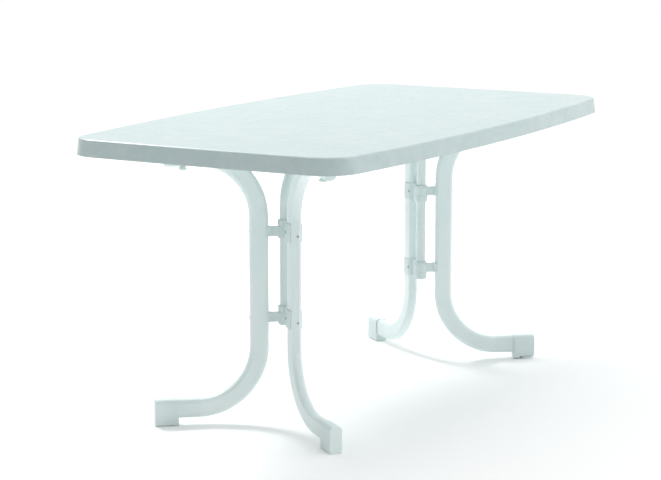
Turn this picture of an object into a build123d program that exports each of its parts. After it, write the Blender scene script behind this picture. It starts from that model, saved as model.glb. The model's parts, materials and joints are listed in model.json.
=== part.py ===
"""Folding garden table: a boat-shaped moulded top on two folding pedestals.

Each pedestal is a round post with a pair of C-shaped steel legs, which are hinged round the post.
To fold it, the four lock pins are pulled and each pair of legs is swung into one upright plane.
The post then folds up under the top about a level pin, with its legs: B first, then A below it.

Millimetres. +X is the long way of the top, +Z is up, and the origin is on the floor under the middle.
"""

from build123d import *
import os
from math import asin, cos, hypot, radians, sin, sqrt, tan

# ---- tabletop
LENGTH = 1500.0
WIDTH = 820.0  # across the middle
HEIGHT = 720.0
RIM_DEPTH = 40.0
END_BOW = 5.6  # how far each end bulges
SIDE_BOW = 44.3  # how far each long side bulges
CORNER_RADIUS = 85.0
RIM_LEAN = 5.0  # how far the rim leans in from its lower edge to the top
TOP_ROUND = 6.0
RIM_WALL = 16.0
SLAB = 20.0
RECESS_LEAN = 5.0
RECESS_ROUND = 4.0

# ---- legs
STEM_X = 401.0  # upright stretch of each leg
STEM_Y = 50.0
SPLAY = 52.5  # each leg's direction from the long axis, seen from above, in degrees
TUBE_DEEP = 47.0  # in the plane of the bends
TUBE_THICK = 26.0
TUBE_WALL = 1.5
TUBE_ROUND = 11.0
BEND_RADIUS = 152.0
LOWER_RUN = 41.0  # height of the lower run's centreline
UPPER_RUN = 662.0
LOWER_END = 254.0  # tube ends, measured out from the stem
UPPER_END = 223.0

# ---- caps on the tube ends
CAP_FIT = 0.1
CAP_ROUND = 1.5
FOOT_START = 200.0
FOOT_END = 258.0
FOOT_SIDE = 3.0  # walls of the foot cap at the tube's sides ...
FOOT_LID = 1.0  # ... and above it
FOOT_ROUND = 4.0
TOP_CAP_START = 193.0
TOP_CAP_END = 226.0
TOP_CAP_WALL = 2.0

# ---- posts, and the hinges that turn on them
POST_RADIUS = 12.0
POST_WALL = 1.5
POST_BEND = 118.0
POST_LEAN = {"a": 30.0, "b": 15.0}  # of the post's upper end, in degrees from upright
PLUG_RADIUS = 15.0
PLUG_TALL = 3.0
PLUG_DEEP = 12.0
HINGE_HEIGHTS = {"upper": 475.0, "lower": 263.0}
KNUCKLE = 16.5  # radius of the knuckles round the post
LEAF_TALL = 23.0
FORK_TALL = 44.0
FORK_SHORT = 5.0  # how far the fork reaches past the leaf on its shorter side
HINGE_GAP = 0.5
ARM_WIDE = 14.0
SADDLE_WALL = 3.0
SADDLE_REACH = 12.0  # how far forward of the stem's middle the saddle's sides come
LEAF_PLATE = 5.0
LEAF_WIDE = 22.0
RUNNING_FIT = 0.06  # radial clearance of a pin in the hole that it turns in
RIVET = 1.8
RIVET_HEAD = 1.0
RIVET_BACK = 16.0  # how far behind the stem's middle the saddle's side rivets are
SCREW_BURIED = 14.0  # length of a hinge screw behind the stem
HEAD_RATIO = 1.9  # rivet head radius over shank radius
HEAD_FILLET = 0.8  # edge rounding over head height

# ---- level pins that the pedestals fold about
FOLD_PIN = 4.0
FOLD_INSET = {"a": 56.0, "b": 20.0}  # measured in from the post
BOSS_RADIUS = 13.0
BOSS_LONG = 52.0
BRACKET = 4.0
BRACKET_LONG = 66.0
BRACKET_WIDE = 96.0
BRACKET_ROUND = 8.0
EAR_RADIUS = 14.0
EAR_GAP = 1.0
FOLD_PIN_HEAD = 2.0

# ---- lock pins and the guide plates that they catch in
LOCK_OUT = 182.0  # measured out from the stem
LOCK_RADIUS = 4.0
LOCK_HOLE_GAP = 0.3
LOCK_TIP = 692.0
TIP_CHAMFER = 1.0
KNOB_RADIUS = 10.0
KNOB_LOW = 629.0
KNOB_HIGH = 637.0
KNOB_RIM = 4.0  # height of the knob's full width
KNOB_CHAMFER = 1.5
KNOB_TAPER = 2.5
SHOULDER_LOW = 670.0
SHOULDER_RADIUS = 7.0
SHOULDER = 2.5
SPRING_WIRE = 0.6
SPRING_RADIUS = 5.6
SPRING_TURNS = 6
SPRING_GAP = 0.1
GUIDE_LOW = 688.0
GUIDE_START = 158.0
GUIDE_END = 248.0
GUIDE_OUTER = 24.0
GUIDE_INNER = 45.0
GUIDE_ROUND = 5.0
GROOVE_HALF = 5.0
GROOVE_TOP = 694.0
STOP_GAP = 1.4
STOP_DROP = 18.0
STOP_START = 196.0
STOP_END = 224.0

# ---- screws
SCREW_RADIUS = 2.0
SCREW_HOLE = 2.1
SCREW_BITE = 11.5
SCREW_HEAD = 4.2
SCREW_HEAD_TALL = 2.6
SCREW_HEAD_ROUND = 1.2
SCREW_HEAD_GAP = 0.5
SCREW_SINK = 5.0
CROSS_LONG = 4.6
CROSS_WIDE = 1.0
CROSS_DEEP = 1.2
PILOT_DEPTH = 12.5
BRACKET_SCREWS = (23.0, 38.0)  # along and across the bracket from its middle
GUIDE_SCREWS = [(168.0, 16.0), (236.0, -32.0), (236.0, 12.0)]  # out from the stem, and to the side

# ---- levelling foot
LEVELLED_LEG = "b1"
LEVELLED_PAD = 1.2  # clearance of this leg's pad from the floor
WHEEL_OUT = 238.0
WHEEL_RADIUS = 19.0
WHEEL_TALL = 6.5
WHEEL_GAP = 1.2
WHEEL_SIDE_GAP = 1.5
FLUTES = 24
FLUTE_RADIUS = 1.5
STUD_RADIUS = 4.0
STUD_TALL = 18.0
STUD_CHAMFER = 1.0
NUT_RADIUS = 6.5

# ---- worked out
UNDERSIDE = HEIGHT - SLAB
RIM_LOW = HEIGHT - RIM_DEPTH
HALF_DEEP = TUBE_DEEP / 2
HALF_THICK = TUBE_THICK / 2
AXIS_BACK = STEM_Y / sin(radians(SPLAY))  # from a stem straight back to the axis of its post
AXIS_X = STEM_X - STEM_Y / tan(radians(SPLAY))
LOCK_SWEEP = LOCK_OUT + AXIS_BACK

# Each leg's name: the pedestal it is in, and 1 if it carries hinge leaves or 2 if it carries forks.
# The three signs are its side of the table in X and in Y, and the side of the leg's own Y that
# faces the end of the table.
LEGS = {"a1": (-1, 1, 1), "a2": (-1, -1, -1), "b1": (1, -1, 1), "b2": (1, 1, -1)}
PEDESTALS = {"a": -1, "b": 1}


def leg_plane(leg):
    """Frame of a leg: X out along its runs, Z up, origin on the floor under its stem."""
    x_side, y_side, _ = LEGS[leg]
    out = (x_side * cos(radians(SPLAY)), y_side * sin(radians(SPLAY)), 0)
    return Plane(origin=(x_side * STEM_X, y_side * STEM_Y, 0), x_dir=out)


def pedestal_plane(pedestal):
    """Frame of a pedestal: X in towards the middle of the table, origin under its post."""
    side = PEDESTALS[pedestal]
    return Plane(origin=(side * AXIS_X, 0, 0), x_dir=(-side, 0, 0))


def finish(piece, name, frame=Plane.XY):
    """Carries a piece from the frame that it is drawn in to its place, and writes it."""
    piece.part.move(frame.location)
    piece.part.label = name
    export_step(piece.part, f"parts/{name}.step")


# ---- tabletop ---------------------------------------------------------------------------------------
def corner_centre(side_radius, end_radius):
    """Centre of the corner arc that touches the side arc and the end arc of one quarter."""
    side_y = WIDTH / 2 - side_radius
    end_x = LENGTH / 2 - end_radius
    from_side = side_radius - CORNER_RADIUS
    from_end = end_radius - CORNER_RADIUS
    apart = hypot(end_x, side_y)
    along = (from_side**2 - from_end**2 + apart**2) / (2 * apart)
    across = sqrt(from_side**2 - along**2)
    unit = Vector(end_x, -side_y) / apart
    return Vector(0, side_y) + unit * along + Vector(unit.Y, -unit.X) * across


def boat(inset):
    """Outline of the top, moved in by inset: four bowed sides that run into round corners."""
    half_side = LENGTH / 2 - END_BOW
    half_end = WIDTH / 2 - SIDE_BOW
    side_radius = (half_side**2 + SIDE_BOW**2) / (2 * SIDE_BOW)
    end_radius = (half_end**2 + END_BOW**2) / (2 * END_BOW)
    centre = corner_centre(side_radius, end_radius)
    from_side = (centre - Vector(0, WIDTH / 2 - side_radius)).normalized()
    from_end = (centre - Vector(LENGTH / 2 - end_radius, 0)).normalized()
    corner = CORNER_RADIUS - inset
    side_end = centre + from_side * corner
    corner_middle = centre + (from_side + from_end).normalized() * corner
    end_start = centre + from_end * corner
    tip = Vector(LENGTH / 2 - inset, 0)
    end_arc = end_radius - inset
    half_way = asin(end_start.Y / end_arc) / 2
    on_end = tip + Vector(cos(half_way) - 1, sin(half_way)) * end_arc
    with BuildLine() as outline:
        side = ThreePointArc((-side_end.X, side_end.Y), (0, WIDTH / 2 - inset), side_end)
        ThreePointArc(side @ 1, corner_middle, end_start)
        ThreePointArc(end_start, on_end, tip)
        ThreePointArc(side @ 0, (-corner_middle.X, corner_middle.Y), (-end_start.X, end_start.Y))
        ThreePointArc((-end_start.X, end_start.Y), (-on_end.X, on_end.Y), -tip)
        mirror(about=Plane.XZ)
    return outline.wires()[0]


def boat_face(inset, height):
    """The outline as a face at the given height."""
    outline = boat(inset)
    with BuildSketch(Plane.XY.offset(height)) as face:
        add(outline)
        make_face()
    return face.sketch


def bracket_screw_spots():
    along, across = BRACKET_SCREWS
    spots = []
    for pedestal in PEDESTALS:
        frame = pedestal_plane(pedestal)
        for x in (FOLD_INSET[pedestal] - along, FOLD_INSET[pedestal] + along):
            spots += [frame.from_local_coords((x, y, 0)) for y in (-across, across)]
    return [(spot.X, spot.Y) for spot in spots]


def guide_screw_spots():
    spots = []
    for leg, (_, _, outer) in LEGS.items():
        frame = leg_plane(leg)
        spots += [frame.from_local_coords((out, side * outer, 0)) for out, side in GUIDE_SCREWS]
    return [(spot.X, spot.Y) for spot in spots]


def tabletop():
    """One moulded slab with a turned-down rim, and blind pilot holes for the screws."""
    lower, upper = boat_face(0, RIM_LOW), boat_face(RIM_LEAN, HEIGHT)
    mouth = boat_face(RIM_WALL, RIM_LOW)
    ceiling = boat_face(RIM_WALL + RECESS_LEAN, UNDERSIDE)
    with BuildPart() as top:
        add([lower, upper])
        loft(ruled=True)
        fillet(top.edges().group_by(Axis.Z)[-1], TOP_ROUND)
        add([mouth, ceiling])
        loft(ruled=True, mode=Mode.SUBTRACT)
        ceiling_edges = top.faces().filter_by(Plane.XY).sort_by(Axis.Z)[-2].edges()
        fillet(ceiling_edges, RECESS_ROUND)
        with BuildSketch(Plane.XY.offset(UNDERSIDE)):
            with Locations(bracket_screw_spots() + guide_screw_spots()):
                Circle(SCREW_HOLE)
        extrude(amount=PILOT_DEPTH, mode=Mode.SUBTRACT)
    finish(top, "tabletop")


# ---- parts that several pieces share ----------------------------------------------------------------
def tube_profile(plane, grow=0.0):
    """The leg tube's outer shape, larger by grow all round. The plane's X is the tube's deep way."""
    with BuildSketch(plane) as profile:
        RectangleRounded(TUBE_DEEP + 2 * grow, TUBE_THICK + 2 * grow, TUBE_ROUND + grow)
    return profile.sketch


def rivet(low, high, radius, head):
    """A rivet along Z: its shank runs from low to high, with a rounded head beyond each end."""
    with BuildPart() as body:
        with BuildSketch(Plane.XY.offset(low - head), Plane.XY.offset(high)):
            Circle(HEAD_RATIO * radius)
        extrude(amount=head)
        heights = body.edges().group_by(Axis.Z)
        fillet(heights[0] + heights[-1], HEAD_FILLET * head)
        with BuildSketch(Plane.XY.offset(low)):
            Circle(radius)
        extrude(amount=high - low)
    return body.part


def headed_screw(low, high, radius, head):
    """A screw along Z: its shank runs from low to high, with a rounded head above."""
    with BuildPart() as body:
        with BuildSketch(Plane.XY.offset(high)):
            Circle(HEAD_RATIO * radius)
        extrude(amount=head)
        fillet(body.edges().group_by(Axis.Z)[-1], HEAD_FILLET * head)
        with BuildSketch(Plane.XY.offset(low)):
            Circle(radius)
        extrude(amount=high - low)
    return body.part


def fork_low(leg, place):
    """Underside of a fork: it reaches further up past the leaf on pedestal A, and down on B."""
    height = HINGE_HEIGHTS[place]
    if leg[0] == "a":
        return height - LEAF_TALL / 2 - FORK_SHORT
    return height + LEAF_TALL / 2 + FORK_SHORT - FORK_TALL


# ---- legs: drawn in leg_plane -------------------------------------------------------------------------
def leg_tube(leg):
    """Flat-sided oval tube bent into a C, drilled for the lock pin, the screws and the rivets."""
    start = Plane(origin=(LOWER_END, 0, LOWER_RUN), x_dir=(0, 0, 1), z_dir=(-1, 0, 0))
    outside, inside = tube_profile(start), tube_profile(start, -TUBE_WALL)
    with BuildPart() as tube:
        with BuildLine(Plane.XZ) as centreline:
            Line((LOWER_END, LOWER_RUN), (BEND_RADIUS, LOWER_RUN))
            RadiusArc((BEND_RADIUS, LOWER_RUN), (0, LOWER_RUN + BEND_RADIUS), BEND_RADIUS)
            Line((0, LOWER_RUN + BEND_RADIUS), (0, UPPER_RUN - BEND_RADIUS))
            RadiusArc((0, UPPER_RUN - BEND_RADIUS), (BEND_RADIUS, UPPER_RUN), BEND_RADIUS)
            Line((BEND_RADIUS, UPPER_RUN), (UPPER_END, UPPER_RUN))
        sweep(sections=outside, path=centreline.wires()[0])
        sweep(sections=inside, path=centreline.wires()[0], mode=Mode.SUBTRACT)
        with Locations((LOCK_OUT, 0, UPPER_RUN)):
            Cylinder(LOCK_RADIUS + LOCK_HOLE_GAP, TUBE_DEEP, mode=Mode.SUBTRACT)
        for place, height in HINGE_HEIGHTS.items():
            with Locations((0, 0, height)):
                Cylinder(RIVET, TUBE_DEEP, rotation=(0, 90, 0), mode=Mode.SUBTRACT)
            if leg[1] == "2":
                with Locations((-RIVET_BACK, 0, fork_low(leg, place) + FORK_TALL / 2)):
                    Cylinder(RIVET, TUBE_THICK, rotation=(90, 0, 0), mode=Mode.SUBTRACT)
        if leg == LEVELLED_LEG:
            with Locations((WHEEL_OUT, 0, LOWER_RUN - HALF_DEEP)):
                Cylinder(NUT_RADIUS, 4 * TUBE_WALL, mode=Mode.SUBTRACT)
    finish(tube, f"leg_{leg}_tube", leg_plane(leg))


def foot_cap(leg):
    """A sleeve over the end of the lower run, with a deep pad under it that stands on the floor."""
    pad_low = LEVELLED_PAD if leg == LEVELLED_LEG else 0.0
    high = LOWER_RUN + HALF_DEEP + FOOT_LID
    width = TUBE_THICK + 2 * FOOT_SIDE
    with BuildPart() as cap:
        with BuildSketch(Plane.YZ.offset(FOOT_START)):
            with Locations((0, (pad_low + high) / 2)):
                Rectangle(width, high - pad_low)
        extrude(amount=FOOT_END - FOOT_START)
        long_edges = cap.edges().filter_by(Axis.X).group_by(Axis.Z)
        fillet(long_edges[-1], TUBE_ROUND)
        fillet(cap.edges().filter_by(Axis.X).group_by(Axis.Z)[0], FOOT_ROUND)
        end_face = cap.faces().sort_by(Axis.X)[-1]
        fillet(end_face.edges(), FOOT_ROUND / 2)
        with BuildSketch(Plane.YZ.offset(FOOT_START)):
            with Locations((0, LOWER_RUN)):
                RectangleRounded(TUBE_THICK + 2 * CAP_FIT, TUBE_DEEP + 2 * CAP_FIT, TUBE_ROUND + CAP_FIT)
        extrude(amount=LOWER_END - FOOT_START + CAP_FIT, mode=Mode.SUBTRACT)
        if leg == LEVELLED_LEG:
            slot = (2 * (WHEEL_RADIUS + WHEEL_SIDE_GAP), 2 * width, 2 * (WHEEL_TALL + WHEEL_GAP))
            with Locations((WHEEL_OUT, 0, 0)):
                Box(*slot, mode=Mode.SUBTRACT)
                Cylinder(NUT_RADIUS, LOWER_RUN, mode=Mode.SUBTRACT)
    finish(cap, f"leg_{leg}_foot_cap", leg_plane(leg))


def top_cap(leg):
    """A sleeve over the end of the upper run, which slides along the underside of the guide plate."""
    wide, deep = TUBE_THICK + 2 * TOP_CAP_WALL, TUBE_DEEP + 2 * TOP_CAP_WALL
    with BuildPart() as cap:
        with BuildSketch(Plane.YZ.offset(TOP_CAP_START)):
            with Locations((0, UPPER_RUN)):
                RectangleRounded(wide, deep, TUBE_ROUND + TOP_CAP_WALL)
        extrude(amount=TOP_CAP_END - TOP_CAP_START)
        fillet(cap.faces().sort_by(Axis.X)[-1].edges(), CAP_ROUND)
        with BuildSketch(Plane.YZ.offset(TOP_CAP_START)):
            with Locations((0, UPPER_RUN)):
                RectangleRounded(TUBE_THICK + 2 * CAP_FIT, TUBE_DEEP + 2 * CAP_FIT, TUBE_ROUND + CAP_FIT)
        extrude(amount=UPPER_END - TOP_CAP_START + CAP_FIT, mode=Mode.SUBTRACT)
    finish(cap, f"leg_{leg}_top_cap", leg_plane(leg))


def lock_pin(leg):
    """Pull knob, a shank with a shoulder for the spring, and a tip that stands in the guide's groove."""
    with BuildPart() as pin:
        with BuildSketch(Plane.XZ):
            with BuildLine():
                Polyline(
                    (0, LOCK_TIP),
                    (0, KNOB_LOW),
                    (KNOB_RADIUS - KNOB_CHAMFER, KNOB_LOW),
                    (KNOB_RADIUS, KNOB_LOW + KNOB_CHAMFER),
                    (KNOB_RADIUS, KNOB_LOW + KNOB_RIM),
                    (KNOB_RADIUS - KNOB_TAPER, KNOB_HIGH),
                    (LOCK_RADIUS, KNOB_HIGH),
                    (LOCK_RADIUS, SHOULDER_LOW),
                    (SHOULDER_RADIUS, SHOULDER_LOW),
                    (SHOULDER_RADIUS, SHOULDER_LOW + SHOULDER),
                    (LOCK_RADIUS, SHOULDER_LOW + SHOULDER),
                    (LOCK_RADIUS, LOCK_TIP - TIP_CHAMFER),
                    (LOCK_RADIUS - TIP_CHAMFER, LOCK_TIP),
                    (0, LOCK_TIP),
                )
            make_face()
        revolve(axis=Axis.Z)
    pin.part.move(Location((LOCK_OUT, 0, 0)))
    finish(pin, f"leg_{leg}_lock_pin", leg_plane(leg))


def lock_spring(leg):
    """Coil inside the tube, between its lower wall and the lock pin's shoulder."""
    low = UPPER_RUN - HALF_DEEP + TUBE_WALL + SPRING_WIRE + SPRING_GAP
    rise = SHOULDER_LOW - SPRING_WIRE - SPRING_GAP - low
    with BuildPart() as spring:
        with BuildLine() as coil:
            Helix(rise / SPRING_TURNS, rise, SPRING_RADIUS, center=(LOCK_OUT, 0, low))
        with BuildSketch(Plane(origin=coil.line @ 0, z_dir=coil.line % 0)):
            Circle(SPRING_WIRE)
        sweep(path=coil.wires()[0], is_frenet=True)
    finish(spring, f"leg_{leg}_lock_spring", leg_plane(leg))


def hinge_leaf(leg, place):
    """Moulded leaf on the back of a stem, with one knuckle round the post."""
    low = HINGE_HEIGHTS[place] - LEAF_TALL / 2
    with BuildPart() as leaf:
        with BuildSketch(Plane.XY.offset(low)):
            with Locations((-HALF_DEEP, 0)):
                RectangleRounded(2 * LEAF_PLATE, LEAF_WIDE, CAP_ROUND)
            with Locations((-(AXIS_BACK + HALF_DEEP) / 2, 0)):
                Rectangle(AXIS_BACK - HALF_DEEP, ARM_WIDE)
            with Locations((-AXIS_BACK, 0)):
                Circle(KNUCKLE)
                Circle(POST_RADIUS + RUNNING_FIT, mode=Mode.SUBTRACT)
            RectangleRounded(TUBE_DEEP, TUBE_THICK, TUBE_ROUND, mode=Mode.SUBTRACT)
        extrude(amount=LEAF_TALL)
        with Locations((-HALF_DEEP - SCREW_BURIED / 2, 0, HINGE_HEIGHTS[place])):
            Cylinder(RIVET, SCREW_BURIED, rotation=(0, 90, 0), mode=Mode.SUBTRACT)
    finish(leaf, f"leg_{leg}_{place}_leaf", leg_plane(leg))


def hinge_fork(leg, place):
    """Moulded saddle round the back of a stem, with knuckles above and below the other leg's leaf."""
    low = fork_low(leg, place)
    with BuildPart() as fork:
        with BuildSketch(Plane.XY.offset(low)):
            RectangleRounded(
                TUBE_DEEP + 2 * SADDLE_WALL, TUBE_THICK + 2 * SADDLE_WALL, TUBE_ROUND + SADDLE_WALL
            )
            with Locations((SADDLE_REACH + TUBE_DEEP, 0)):
                Rectangle(2 * TUBE_DEEP, 2 * TUBE_DEEP, mode=Mode.SUBTRACT)
            with Locations((-(AXIS_BACK + HALF_DEEP) / 2, 0)):
                Rectangle(AXIS_BACK - HALF_DEEP, ARM_WIDE)
            with Locations((-AXIS_BACK, 0)):
                Circle(KNUCKLE)
                Circle(POST_RADIUS + RUNNING_FIT, mode=Mode.SUBTRACT)
            RectangleRounded(TUBE_DEEP, TUBE_THICK, TUBE_ROUND, mode=Mode.SUBTRACT)
        extrude(amount=FORK_TALL)
        with Locations((-AXIS_BACK, 0, HINGE_HEIGHTS[place])):
            Cylinder(KNUCKLE + HINGE_GAP, LEAF_TALL + 2 * HINGE_GAP, mode=Mode.SUBTRACT)
        with Locations((-HALF_DEEP - SCREW_BURIED / 2, 0, HINGE_HEIGHTS[place])):
            Cylinder(RIVET, SCREW_BURIED, rotation=(0, 90, 0), mode=Mode.SUBTRACT)
        with Locations((-RIVET_BACK, 0, low + FORK_TALL / 2)):
            Cylinder(RIVET, 2 * TUBE_THICK, rotation=(90, 0, 0), mode=Mode.SUBTRACT)
    finish(fork, f"leg_{leg}_{place}_fork", leg_plane(leg))


def hinge_screws(leg):
    """Screws driven from the front of the stem, through it and into its two hinge parts."""
    screw = headed_screw(-HALF_DEEP - SCREW_BURIED, HALF_DEEP, RIVET, RIVET_HEAD)
    with BuildPart() as pair:
        with Locations([Location((0, 0, height), (0, 90, 0)) for height in HINGE_HEIGHTS.values()]):
            add(screw)
    finish(pair, f"leg_{leg}_hinge_screws", leg_plane(leg))


def saddle_rivets(leg):
    """Rivets across the stem, through both sides of its two saddles."""
    reach = HALF_THICK + SADDLE_WALL
    across = rivet(-reach, reach, RIVET, RIVET_HEAD)
    middles = [fork_low(leg, place) + FORK_TALL / 2 for place in HINGE_HEIGHTS]
    with BuildPart() as rivets:
        with Locations([Location((-RIVET_BACK, 0, middle), (90, 0, 0)) for middle in middles]):
            add(across)
    finish(rivets, f"leg_{leg}_saddle_rivets", leg_plane(leg))


# ---- posts: drawn in pedestal_plane ---------------------------------------------------------------------
def post_end(pedestal):
    """Lower end of a post, level with the underside of the lowest knuckle."""
    return fork_low(pedestal + "2", "lower") - HINGE_GAP


def post(pedestal):
    """Round tube, upright between the legs, whose upper end leans in to a boss on the level pin."""
    lean = radians(POST_LEAN[pedestal])
    inset = FOLD_INSET[pedestal]
    bend_in = POST_BEND * (1 - cos(lean))
    straight_up = (inset - bend_in) / tan(lean)
    bend_low = UPPER_RUN - straight_up - POST_BEND * sin(lean)
    low = post_end(pedestal)
    with BuildPart() as tube:
        with BuildLine(Plane.XZ) as centreline:
            upright = Line((0, low), (0, bend_low))
            bend = JernArc(upright @ 1, upright % 1, POST_BEND, -POST_LEAN[pedestal])
            Line(bend @ 1, (inset, UPPER_RUN))
        for radius, mode in ((POST_RADIUS, Mode.ADD), (POST_RADIUS - POST_WALL, Mode.SUBTRACT)):
            with BuildSketch(Plane.XY.offset(low)) as section:
                Circle(radius)
            sweep(sections=section.sketch, path=centreline.wires()[0], mode=mode)
        with Locations((inset, 0, UPPER_RUN)):
            Cylinder(BOSS_RADIUS, BOSS_LONG, rotation=(90, 0, 0))
            Cylinder(FOLD_PIN + RUNNING_FIT, BOSS_LONG, rotation=(90, 0, 0), mode=Mode.SUBTRACT)
    finish(tube, f"post_{pedestal}", pedestal_plane(pedestal))


def post_plug(pedestal):
    """Plug in the lower end of a post. Its flange holds the legs' knuckles up."""
    low = post_end(pedestal) - PLUG_TALL
    with BuildPart() as plug:
        with BuildSketch(Plane.XY.offset(low)):
            Circle(PLUG_RADIUS)
        extrude(amount=PLUG_TALL)
        fillet(plug.edges().group_by(Axis.Z)[0], CAP_ROUND)
        with BuildSketch(Plane.XY.offset(low + PLUG_TALL)):
            Circle(POST_RADIUS - POST_WALL)
        extrude(amount=PLUG_DEEP)
    finish(plug, f"post_plug_{pedestal}", pedestal_plane(pedestal))


# ---- under the top --------------------------------------------------------------------------------------
def guide_plate(leg):
    """Moulded plate that the leg's end slides under, drawn in leg_plane.

    Its groove takes the lock pin, and its lip stops the leg when it is fully splayed.
    """
    outer = LEGS[leg][2]
    lip_start = HALF_THICK + TOP_CAP_WALL + STOP_GAP
    centre = ((GUIDE_START + GUIDE_END) / 2, (GUIDE_OUTER - GUIDE_INNER) / 2 * outer)
    with BuildPart() as plate:
        with BuildSketch(Plane.XY.offset(GUIDE_LOW)):
            with Locations(centre):
                RectangleRounded(GUIDE_END - GUIDE_START, GUIDE_OUTER + GUIDE_INNER, GUIDE_ROUND)
        extrude(amount=UNDERSIDE - GUIDE_LOW)
        with BuildSketch(Plane.XY.offset(GUIDE_LOW - STOP_DROP)):
            with Locations(((STOP_START + STOP_END) / 2, (lip_start + GUIDE_OUTER) / 2 * outer)):
                Rectangle(STOP_END - STOP_START, GUIDE_OUTER - lip_start)
        extrude(amount=UNDERSIDE - GUIDE_LOW + STOP_DROP)
        with BuildSketch(Plane.XY.offset(GUIDE_LOW)):
            with Locations((-AXIS_BACK, 0)):
                Circle(LOCK_SWEEP + GROOVE_HALF)
                Circle(LOCK_SWEEP - GROOVE_HALF, mode=Mode.SUBTRACT)
            with Locations((LOCK_OUT, (GROOVE_HALF - GUIDE_INNER) * outer)):
                Rectangle(2 * GUIDE_INNER, 2 * GUIDE_INNER, mode=Mode.INTERSECT)
        extrude(amount=GROOVE_TOP - GUIDE_LOW, mode=Mode.SUBTRACT)
        spots = [(out, side * outer) for out, side in GUIDE_SCREWS]
        with BuildSketch(Plane.XY.offset(GUIDE_LOW)):
            with Locations(spots):
                Circle(SCREW_HOLE)
        extrude(amount=UNDERSIDE - GUIDE_LOW, mode=Mode.SUBTRACT)
        with BuildSketch(Plane.XY.offset(GUIDE_LOW)):
            with Locations(spots):
                Circle(SCREW_HEAD + SCREW_HEAD_GAP)
        extrude(amount=SCREW_SINK, mode=Mode.SUBTRACT)
    finish(plate, f"guide_plate_{leg}", leg_plane(leg))


def fold_bracket(pedestal):
    """Steel plate screwed under the top, with two ears that hold the level pin. In pedestal_plane."""
    middle = FOLD_INSET[pedestal]
    plate_low = UNDERSIDE - BRACKET
    ear_start = BOSS_LONG / 2 + EAR_GAP
    along, across = BRACKET_SCREWS
    with BuildPart() as bracket:
        with BuildSketch(Plane.XY.offset(plate_low)):
            with Locations((middle, 0)):
                RectangleRounded(BRACKET_LONG, BRACKET_WIDE, BRACKET_ROUND)
            with Locations((middle, 0)):
                with GridLocations(2 * along, 2 * across, 2, 2):
                    Circle(SCREW_HOLE, mode=Mode.SUBTRACT)
        extrude(amount=BRACKET)
        for ear_plane in (Plane.XZ.offset(ear_start), Plane.XZ.offset(-ear_start - BRACKET)):
            with BuildSketch(ear_plane):
                with Locations((middle, (plate_low + UPPER_RUN) / 2)):
                    Rectangle(2 * EAR_RADIUS, plate_low - UPPER_RUN)
                with Locations((middle, UPPER_RUN)):
                    Circle(EAR_RADIUS)
                    Circle(FOLD_PIN, mode=Mode.SUBTRACT)
            extrude(amount=BRACKET)
    finish(bracket, f"fold_bracket_{pedestal}", pedestal_plane(pedestal))


def fold_pin(pedestal):
    """Level pin through the bracket's ears, headed at both ends."""
    reach = BOSS_LONG / 2 + EAR_GAP + BRACKET
    pin = rivet(-reach, reach, FOLD_PIN, FOLD_PIN_HEAD)
    with BuildPart() as level_pin:
        with Locations(Location((FOLD_INSET[pedestal], 0, UPPER_RUN), (90, 0, 0))):
            add(pin)
    finish(level_pin, f"fold_pin_{pedestal}", pedestal_plane(pedestal))


def screws(name, spots, seat):
    """Pan-head screws, heads down, each with a cross recess. The heads bear on the given height."""
    with BuildPart() as group:
        with BuildSketch(Plane.XY.offset(seat - SCREW_HEAD_TALL)):
            with Locations(spots):
                Circle(SCREW_HEAD)
        extrude(amount=SCREW_HEAD_TALL)
        fillet(group.edges().group_by(Axis.Z)[0], SCREW_HEAD_ROUND)
        with BuildSketch(Plane.XY.offset(seat)):
            with Locations(spots):
                Circle(SCREW_RADIUS)
        extrude(amount=UNDERSIDE + SCREW_BITE - seat)
        with BuildSketch(Plane.XY.offset(seat - SCREW_HEAD_TALL)):
            with Locations(spots):
                Rectangle(CROSS_LONG, CROSS_WIDE)
                Rectangle(CROSS_WIDE, CROSS_LONG)
        extrude(amount=CROSS_DEEP, mode=Mode.SUBTRACT)
    finish(group, name)


# ---- levelling foot: drawn in leg_plane -------------------------------------------------------------------
def levelling_wheel():
    """Thumb wheel with a fluted edge, and a stud that screws it down to steady the table."""
    with BuildPart() as wheel:
        with BuildSketch():
            Circle(WHEEL_RADIUS)
            with PolarLocations(WHEEL_RADIUS + FLUTE_RADIUS / 2, FLUTES):
                Circle(FLUTE_RADIUS, mode=Mode.SUBTRACT)
        extrude(amount=WHEEL_TALL)
        with BuildSketch(Plane.XY.offset(WHEEL_TALL)):
            Circle(STUD_RADIUS)
        extrude(amount=STUD_TALL)
        chamfer(wheel.faces().sort_by(Axis.Z)[-1].edges(), STUD_CHAMFER)
    wheel.part.move(Location((WHEEL_OUT, 0, 0)))
    finish(wheel, "levelling_wheel", leg_plane(LEVELLED_LEG))


def levelling_nut():
    """Insert in the foot that the wheel's stud runs in."""
    low = WHEEL_TALL + WHEEL_GAP
    with BuildPart() as nut:
        with BuildSketch(Plane.XY.offset(low)):
            with Locations((WHEEL_OUT, 0)):
                Circle(NUT_RADIUS)
                Circle(STUD_RADIUS + RUNNING_FIT, mode=Mode.SUBTRACT)
        extrude(amount=LOWER_RUN - HALF_DEEP - low)
    finish(nut, "levelling_nut", leg_plane(LEVELLED_LEG))


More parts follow.
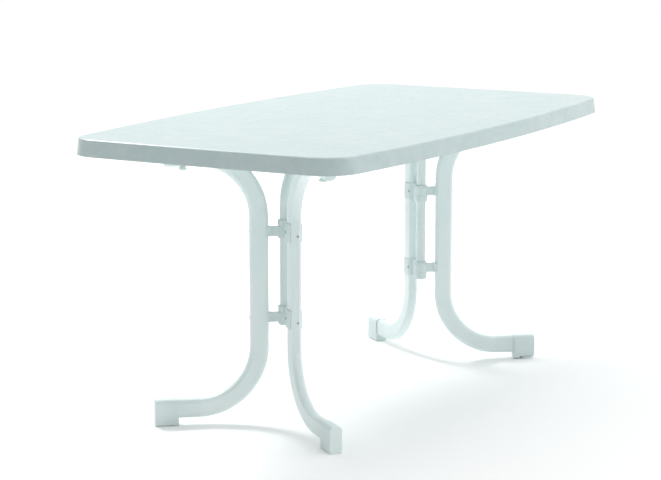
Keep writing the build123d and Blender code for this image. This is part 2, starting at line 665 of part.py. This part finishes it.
os.makedirs("parts", exist_ok=True)
tabletop()
for leg in LEGS:
    leg_tube(leg)
    foot_cap(leg)
    top_cap(leg)
    lock_pin(leg)
    lock_spring(leg)
    hinge_screws(leg)
    guide_plate(leg)
    for place in HINGE_HEIGHTS:
        if leg[1] == "1":
            hinge_leaf(leg, place)
        else:
            hinge_fork(leg, place)
    if leg[1] == "2":
        saddle_rivets(leg)
for pedestal in PEDESTALS:
    post(pedestal)
    post_plug(pedestal)
    fold_bracket(pedestal)
    fold_pin(pedestal)
levelling_wheel()
levelling_nut()
screws("bracket_screws", bracket_screw_spots(), UNDERSIDE - BRACKET)
screws("guide_screws", guide_screw_spots(), GUIDE_LOW + SCREW_SINK)
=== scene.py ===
"""Folding picnic table: finish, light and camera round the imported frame. Metres, in the frame's axes."""

import json
import math

import bpy
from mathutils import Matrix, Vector

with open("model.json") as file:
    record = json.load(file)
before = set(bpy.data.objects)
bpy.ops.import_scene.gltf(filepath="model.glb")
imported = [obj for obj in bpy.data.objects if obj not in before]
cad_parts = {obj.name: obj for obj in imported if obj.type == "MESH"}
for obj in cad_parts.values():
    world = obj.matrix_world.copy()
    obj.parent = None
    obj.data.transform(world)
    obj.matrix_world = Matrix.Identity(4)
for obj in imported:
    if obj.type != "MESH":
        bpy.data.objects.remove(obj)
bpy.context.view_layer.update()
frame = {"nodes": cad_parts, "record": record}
nodes = frame["nodes"]
scene = bpy.context.scene

# ---- camera: angles in radians, lens in millimetres for a 36 mm sensor
CAMERA_PLACE = Vector((-4.529, -2.504, 1.322))
CAMERA_YAW = 0.5182
CAMERA_PITCH = -0.1771
CAMERA_LENS = 110.8

# ---- colours
MINT = (0.83, 0.93, 0.92)
MINT_DEEP = (0.74, 0.87, 0.86)
TOP_LIGHT = (0.515, 0.61, 0.61)
TOP_DARK = (0.43, 0.54, 0.545)
ZINC = (0.50, 0.51, 0.51)
ZINC_DARK = (0.30, 0.31, 0.31)
FLOOR_WHITE = (0.95, 0.95, 0.95)
FLOOR_PATCH_TONE = 0.985  # the floor's darker patches against FLOOR_WHITE

# ---- sky: brightest overhead, and brighter towards +X and -Y than towards -X and +Y
SKY_WHITE = (1.0, 1.0, 1.0)
SKY_BASE = 0.24
SKY_UP = 1.25
SKY_ALONG_X = 0.50
SKY_ALONG_Y = -0.15

# ---- lamps: both point at LAMP_TARGET, sizes are disk diameters, powers in watts
LAMP_TARGET = Vector((0.0, 0.0, 0.5))
KEY_PLACE = Vector((1.0, 3.2, 4.0))
KEY_SIZE = 1.2
KEY_POWER = 130
FILL_PLACE = Vector((3.2, -3.2, 1.6))
FILL_SIZE = 2.5
FILL_POWER = 24

FLOOR_HALF = 60.0
SMOOTH_ANGLE = 0.55  # edges sharper than this stay sharp, in radians

# The places of the colour sockets among a Mix node's inputs and outputs
MIX_FIRST_COLOUR = 6
MIX_SECOND_COLOUR = 7
MIX_RESULT_COLOUR = 2


# ---- camera
def facing(direction):
    """The rotation that points a camera or a lamp along direction."""
    return direction.to_track_quat("-Z", "Y").to_euler()


def make_camera():
    data = bpy.data.cameras.new("camera")
    data.lens = CAMERA_LENS
    camera = bpy.data.objects.new("camera", data)
    level = math.cos(CAMERA_PITCH)
    ahead = Vector((math.cos(CAMERA_YAW) * level, math.sin(CAMERA_YAW) * level, math.sin(CAMERA_PITCH)))
    camera.location = CAMERA_PLACE
    camera.rotation_euler = facing(ahead)
    scene.collection.objects.link(camera)
    scene.camera = camera


make_camera()


# ---- materials
class Finish:
    """A procedural material and short ways to add nodes to it. Sizes in it are in metres."""

    def __init__(self, name, constants):
        """constants holds the value of each shader input that is the same all over the surface."""
        self.material = bpy.data.materials.new(name)
        self.material.use_nodes = True
        self.tree = self.material.node_tree
        self.shader = self.tree.nodes["Principled BSDF"]
        for socket, value in constants.items():
            self.shader.inputs[socket].default_value = value
        self.place = self.tree.nodes.new("ShaderNodeTexCoord").outputs["Object"]

    def link(self, source, target):
        self.tree.links.new(source, target)

    def stretched(self, scale):
        """Object coordinates multiplied by scale along each axis."""
        mapping = self.tree.nodes.new("ShaderNodeMapping")
        mapping.inputs["Scale"].default_value = scale
        self.link(self.place, mapping.inputs["Vector"])
        return mapping.outputs["Vector"]

    def noise(self, size, detail, distortion=0.0, vector=None):
        """Noise whose blotches are about that size, from 0 to 1."""
        node = self.tree.nodes.new("ShaderNodeTexNoise")
        node.inputs["Scale"].default_value = 1.0 / size
        node.inputs["Detail"].default_value = detail
        node.inputs["Distortion"].default_value = distortion
        self.link(vector or self.place, node.inputs["Vector"])
        return node.outputs["Fac"]

    def remap(self, value, low=0.0, high=1.0, to_low=0.0, to_high=1.0):
        """The value with low to high stretched to to_low to to_high, and held there beyond them."""
        node = self.tree.nodes.new("ShaderNodeMapRange")
        for name, number in (("From Min", low), ("From Max", high), ("To Min", to_low), ("To Max", to_high)):
            node.inputs[name].default_value = number
        self.link(value, node.inputs["Value"])
        return node.outputs["Result"]

    def calculate(self, operation, *values):
        """A math operation on sockets and numbers."""
        node = self.tree.nodes.new("ShaderNodeMath")
        node.operation = operation
        for socket, value in zip(node.inputs, values):
            if isinstance(value, (int, float)):
                socket.default_value = value
            else:
                self.link(value, socket)
        return node.outputs["Value"]

    def blend(self, *shares):
        """The sum of some sockets, each given with the number that it is multiplied by."""
        parts = [self.calculate("MULTIPLY", value, share) for value, share in shares]
        total = parts[0]
        for part in parts[1:]:
            total = self.calculate("ADD", total, part)
        return total

    def veins(self, value, width):
        """1 where the noise crosses its middle, falling to 0 at width to each side."""
        away = self.calculate("ABSOLUTE", self.calculate("SUBTRACT", value, 0.5))
        return self.remap(away, high=width, to_low=1.0, to_high=0.0)

    def mix(self, factor, first, second):
        """A colour between two colours, each a triple or a socket."""
        node = self.tree.nodes.new("ShaderNodeMix")
        node.data_type = "RGBA"
        self.link(factor, node.inputs["Factor"])
        for place, colour in ((MIX_FIRST_COLOUR, first), (MIX_SECOND_COLOUR, second)):
            if isinstance(colour, tuple):
                node.inputs[place].default_value = (*colour, 1.0)
            else:
                self.link(colour, node.inputs[place])
        return node.outputs[MIX_RESULT_COLOUR]

    def edge_shaded(self, colour, amount):
        """The colour, turned darker towards TOP_LIGHT by up to amount on outer edges and corners: painted
        shade on the rounded edges.
        """
        geometry = self.tree.nodes.new("ShaderNodeNewGeometry")
        # Painted shade: convex edges and corners are darkened, as if their rounding turned away from the
        # light.
        edges = self.remap(geometry.outputs["Pointiness"], low=0.50, high=0.58)
        return self.mix(self.calculate("MULTIPLY", edges, amount), colour, TOP_LIGHT)

    def colour(self, socket):
        self.link(socket, self.shader.inputs["Base Color"])

    def roughness(self, socket):
        self.link(socket, self.shader.inputs["Roughness"])

    def bump(self, *layers):
        """Each layer is (height socket from 0 to 1, its depth in metres)."""
        normal = None
        for height, depth in layers:
            node = self.tree.nodes.new("ShaderNodeBump")
            node.inputs["Strength"].default_value = 1.0
            node.inputs["Distance"].default_value = depth
            self.link(height, node.inputs["Height"])
            if normal is not None:
                self.link(normal, node.inputs["Normal"])
            normal = node.outputs["Normal"]
        self.link(normal, self.shader.inputs["Normal"])


def top_finish():
    """Melamine-faced moulded board: faint marbling and a fine satin texture."""
    finish = Finish("marbled_top", {"Coat Weight": 0.25, "Coat Roughness": 0.22})
    clouds = finish.remap(finish.noise(size=0.11, detail=6.0, distortion=1.6), low=0.36, high=0.64)
    fibres = finish.remap(finish.noise(size=0.035, detail=8.0, distortion=2.4), low=0.35, high=0.65)
    veins = finish.veins(finish.noise(size=0.075, detail=5.0, distortion=2.8), width=0.035)
    grain = finish.noise(size=0.0012, detail=2.0)
    tone = finish.blend((clouds, 0.45), (fibres, 0.35), (veins, 0.30))
    finish.colour(finish.mix(tone, TOP_LIGHT, TOP_DARK))
    finish.roughness(finish.remap(fibres, to_low=0.30, to_high=0.42))
    finish.bump((grain, 0.00003), (fibres, 0.00004))
    return finish.material


def powder_coat():
    """Powder coat on steel: even colour, orange peel and painted shade on its outer edges."""
    finish = Finish("powder_coat", {"Coat Weight": 0.3, "Coat Roughness": 0.25})
    drift = finish.remap(finish.noise(size=0.16, detail=3.0), low=0.35, high=0.65)
    speckle = finish.remap(finish.noise(size=0.0018, detail=3.0), low=0.40, high=0.60)
    orange_peel = finish.noise(size=0.0035, detail=2.0)
    tone = finish.blend((drift, 0.25), (speckle, 0.12))
    # The darker outer edges here are painted shade.
    finish.colour(finish.edge_shaded(finish.mix(tone, MINT, MINT_DEEP), amount=0.25))
    finish.roughness(finish.remap(drift, to_low=0.34, to_high=0.44))
    finish.bump((orange_peel, 0.00006), (speckle, 0.00001))
    return finish.material


def moulded_plastic():
    """Injection moulded plastic: fine spark grain, slight flow marks and painted shade on its outer edges."""
    finish = Finish("pale_plastic", {})
    flow_lines = finish.noise(size=0.03, detail=3.0, distortion=1.0, vector=finish.stretched((1.0, 1.0, 3.0)))
    flow = finish.remap(flow_lines, low=0.35, high=0.65)
    grain = finish.noise(size=0.0007, detail=2.0)
    tone = finish.blend((flow, 0.20), (grain, 0.15))
    # The darker outer edges here are painted shade.
    finish.colour(finish.edge_shaded(finish.mix(tone, MINT, MINT_DEEP), amount=0.3))
    finish.roughness(finish.remap(flow, to_low=0.46, to_high=0.56))
    finish.bump((grain, 0.00004), (flow, 0.00005))
    return finish.material


def zinc_plate():
    """Zinc-plated steel, dulled, with brushed streaks and darker spots."""
    finish = Finish("zinc_steel", {"Metallic": 1.0})
    streaks = finish.noise(size=0.0012, detail=3.0, vector=finish.stretched((1.0, 1.0, 0.15)))
    spots = finish.remap(finish.noise(size=0.004, detail=4.0), low=0.45, high=0.62)
    finish.colour(finish.mix(spots, ZINC, ZINC_DARK))
    finish.roughness(finish.remap(streaks, low=0.3, high=0.7, to_low=0.30, to_high=0.46))
    finish.bump((streaks, 0.00002))
    return finish.material


def floor_finish():
    """Matt pale studio floor."""
    finish = Finish("studio_floor", {"Roughness": 0.9})
    patches = finish.noise(size=0.6, detail=3.0)
    patch_colour = tuple(FLOOR_PATCH_TONE * value for value in FLOOR_WHITE)
    finish.colour(finish.mix(patches, FLOOR_WHITE, patch_colour))
    return finish.material


finishes = {
    "moulded_top": top_finish(),
    "powder_coated_steel": powder_coat(),
    "pale_plastic": moulded_plastic(),
    "bare_steel": zinc_plate(),
}


def smoothing_group():
    """Node group that shades a mesh smooth except across its sharper edges."""
    group = bpy.data.node_groups.new("smooth_by_angle", "GeometryNodeTree")
    group.interface.new_socket("Geometry", in_out="INPUT", socket_type="NodeSocketGeometry")
    group.interface.new_socket("Geometry", in_out="OUTPUT", socket_type="NodeSocketGeometry")
    start = group.nodes.new("NodeGroupInput")
    faces = group.nodes.new("GeometryNodeSetShadeSmooth")
    faces.domain = "FACE"
    edges = group.nodes.new("GeometryNodeSetShadeSmooth")
    edges.domain = "EDGE"
    angle = group.nodes.new("GeometryNodeInputMeshEdgeAngle")
    soft = group.nodes.new("FunctionNodeCompare")
    soft.data_type = "FLOAT"
    soft.operation = "LESS_THAN"
    soft.inputs["B"].default_value = SMOOTH_ANGLE
    end = group.nodes.new("NodeGroupOutput")
    group.links.new(angle.outputs["Unsigned Angle"], soft.inputs["A"])
    group.links.new(soft.outputs["Result"], edges.inputs["Shade Smooth"])
    group.links.new(start.outputs["Geometry"], faces.inputs["Geometry"])
    group.links.new(faces.outputs["Geometry"], edges.inputs["Geometry"])
    group.links.new(edges.outputs["Geometry"], end.inputs["Geometry"])
    return group


def dress_nodes():
    """Gives each CAD node its slot's finish and smooth shading."""
    slots = {part["node"]: part["material_slot"] for part in frame["record"]["subparts"]}
    smoothing = smoothing_group()
    for name, node in nodes.items():
        node.data.materials.clear()
        node.data.materials.append(finishes[slots[name]])
        modifier = node.modifiers.new("smooth_by_angle", "NODES")
        modifier.node_group = smoothing


dress_nodes()


# ---- studio
def make_floor():
    mesh = bpy.data.meshes.new("floor")
    corners = [(x * FLOOR_HALF, y * FLOOR_HALF, 0.0) for x, y in ((-1, -1), (1, -1), (1, 1), (-1, 1))]
    mesh.from_pydata(corners, [], [range(len(corners))])
    floor = bpy.data.objects.new("floor", mesh)
    scene.collection.objects.link(floor)
    mesh.materials.append(floor_finish())


def make_sky():
    """World light that changes evenly along each axis and is never below black."""
    world = bpy.data.worlds.new("studio")
    world.use_nodes = True
    tree = world.node_tree
    background = tree.nodes["Background"]
    background.inputs["Color"].default_value = (*SKY_WHITE, 1.0)
    direction = tree.nodes.new("ShaderNodeTexCoord").outputs["Generated"]
    slope = tree.nodes.new("ShaderNodeVectorMath")
    slope.operation = "DOT_PRODUCT"
    slope.inputs[1].default_value = (SKY_ALONG_X, SKY_ALONG_Y, SKY_UP)
    strength = tree.nodes.new("ShaderNodeMath")
    strength.operation = "ADD"
    strength.inputs[1].default_value = SKY_BASE
    positive = tree.nodes.new("ShaderNodeMath")
    positive.operation = "MAXIMUM"
    positive.inputs[1].default_value = 0.0
    tree.links.new(direction, slope.inputs[0])
    tree.links.new(slope.outputs["Value"], strength.inputs[0])
    tree.links.new(strength.outputs["Value"], positive.inputs[0])
    tree.links.new(positive.outputs["Value"], background.inputs["Strength"])
    scene.world = world


def soft_lamp(name, place, size, power, in_gloss):
    """A disk lamp that points at LAMP_TARGET. in_gloss says whether glossy surfaces reflect it."""
    data = bpy.data.lights.new(name, "AREA")
    data.shape = "DISK"
    data.size = size
    data.energy = power
    lamp = bpy.data.objects.new(name, data)
    lamp.location = place
    lamp.rotation_euler = facing(LAMP_TARGET - place)
    lamp.visible_glossy = in_gloss
    scene.collection.objects.link(lamp)


make_floor()
make_sky()
soft_lamp("key", KEY_PLACE, KEY_SIZE, KEY_POWER, in_gloss=True)
soft_lamp("fill", FILL_PLACE, FILL_SIZE, FILL_POWER, in_gloss=False)
scene.view_settings.view_transform = "Standard"
